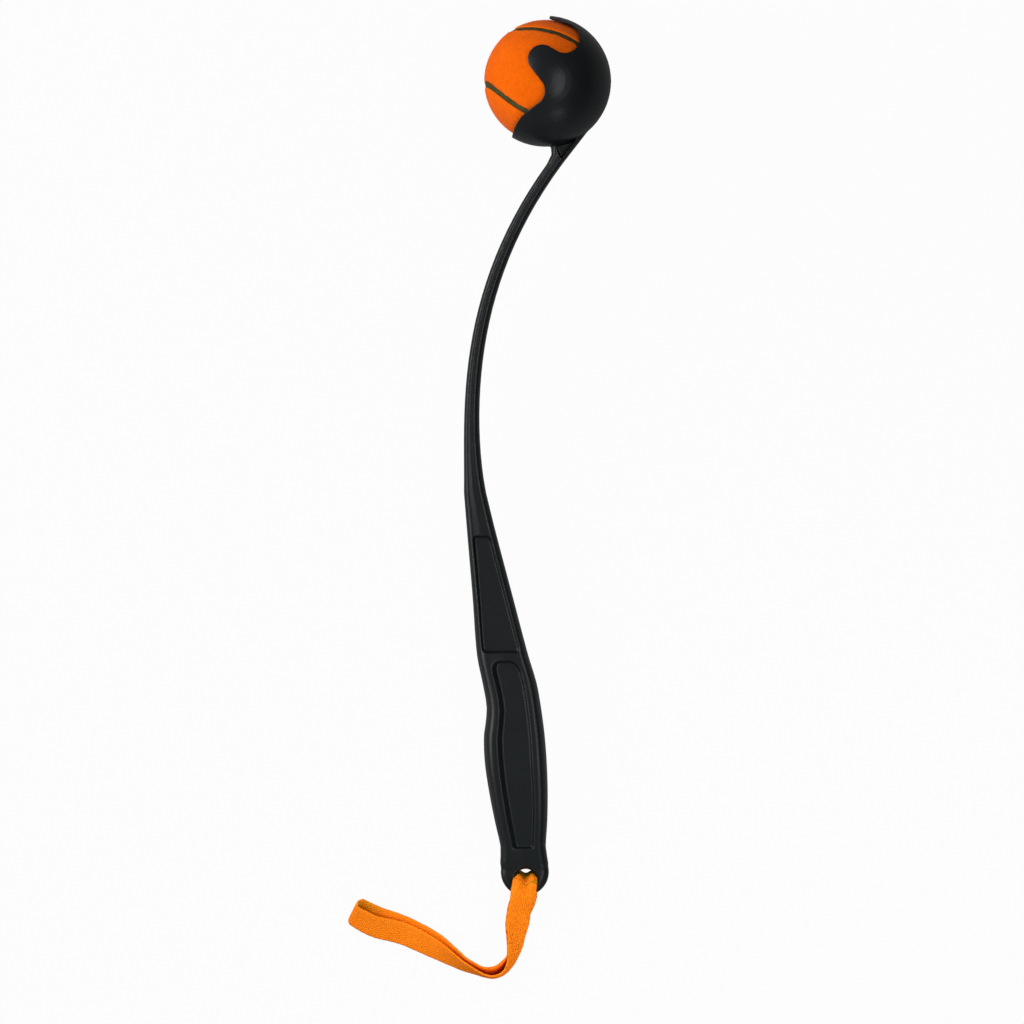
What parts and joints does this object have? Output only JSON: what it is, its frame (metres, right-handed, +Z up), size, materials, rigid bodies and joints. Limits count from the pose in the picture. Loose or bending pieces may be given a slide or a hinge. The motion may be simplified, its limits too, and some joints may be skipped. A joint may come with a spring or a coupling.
{
  "type": "dog ball launcher",
  "caption": "Curved moulded throwing stick lying on its side, with a claw cup that grips a felt ball and a webbing wrist strap looped through its butt.",
  "frame": {"origin": "middle of the footprint on the table, directly below the middle of the bounding box", "axes": "+Y along the stick from the butt to the cup, +X to the back of the cup, +Z up from the table, square to the stick's mirror plane but for its slight tilt"},
  "size_m": [0.1402, 0.5095, 0.07],
  "materials": {
    "black_plastic": "satin moulded polypropylene",
    "ball_felt": "needled felt",
    "ball_seam": "matt rubber cement",
    "ball_rubber": "matt",
    "strap_webbing": "herringbone polyester webbing",
    "strap_thread": "bonded thread"
  },
  "bodies": {
    "launcher": {"launcher": "black_plastic"},
    "ball": {"core_half_inner": "ball_rubber", "core_half_outer": "ball_rubber", "felt_panel_a": "ball_felt", "felt_panel_b": "ball_felt", "ball_seam": "ball_seam"},
    "strap": {"wrist_strap": "strap_webbing", "strap_stitching": "strap_thread"}
  },
  "joints": [
    {"name": "ball_release", "type": "slide", "parent": "launcher", "child": "ball", "axis": [-0.9537, 0.3002, 0.018], "range_m": [0, 0.075], "deforming": ["felt_panel_a", "felt_panel_b", "ball_seam"]},
    {"name": "strap_swing", "type": "hinge", "parent": "launcher", "child": "strap", "pos_m": [0.02481, -0.2022, 0.00953], "axis": [0, 0, 1], "range_deg": [-60, 60]}
  ]
}
